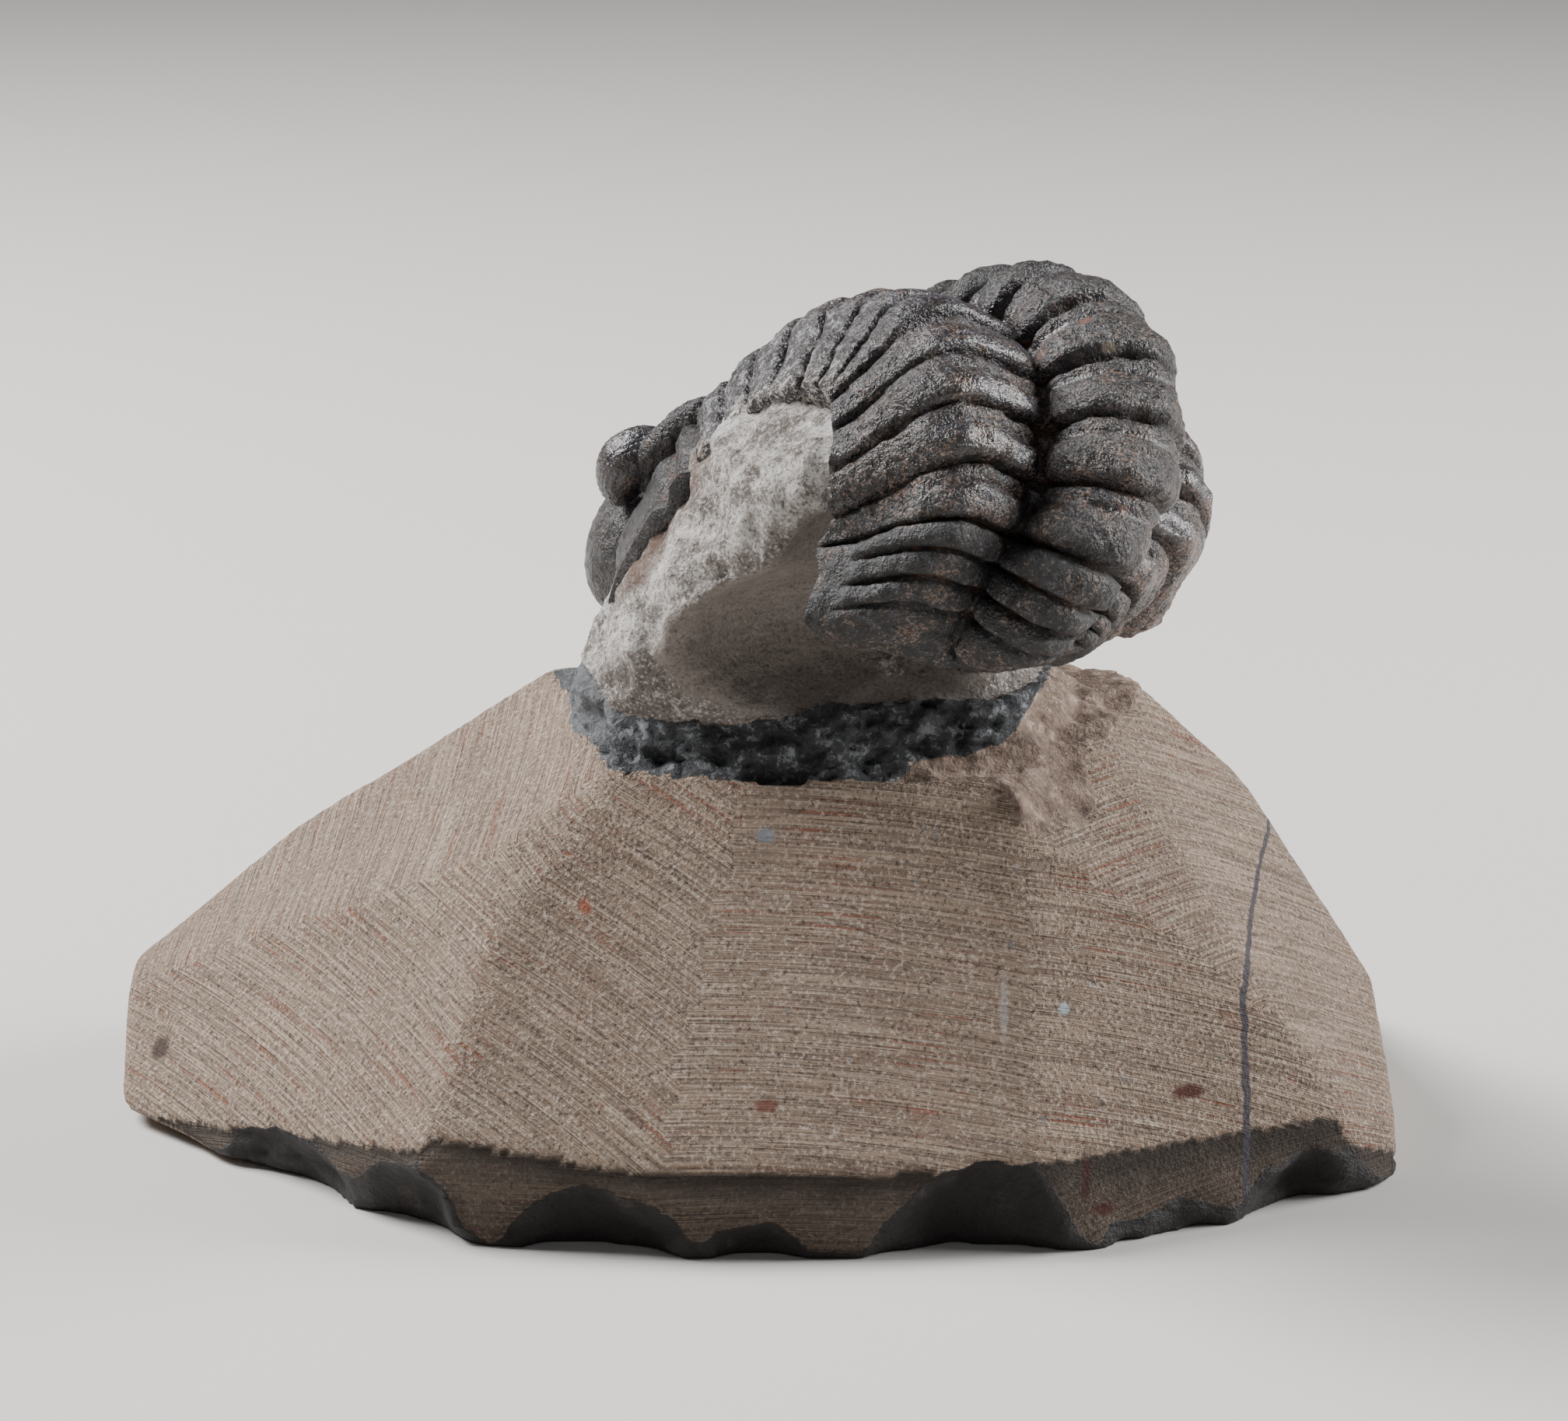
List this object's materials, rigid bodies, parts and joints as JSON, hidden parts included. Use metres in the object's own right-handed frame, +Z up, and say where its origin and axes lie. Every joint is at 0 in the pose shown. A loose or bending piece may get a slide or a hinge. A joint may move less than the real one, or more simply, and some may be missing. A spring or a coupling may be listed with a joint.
{
  "type": "trilobite fossil",
  "caption": "Curled phacopid trilobite in black calcite, still rooted on the narrow neck of a tool-ground limestone block that stands flat.",
  "frame": {"origin": "middle of the bounding box in plan, on the flat underside of the stone", "axes": "+X along the block's long side, to the right in the picture; +Y away from the pictured side; +Z up"},
  "size_m": [0.0752, 0.0552, 0.0526],
  "materials": {
    "black_calcite": "semi-gloss, granular",
    "limestone": "matt, ground with coarse parallel scratches"
  },
  "bodies": {
    "root": {"trilobite": "black_calcite", "matrix_stone": "limestone"}
  },
  "joints": []
}
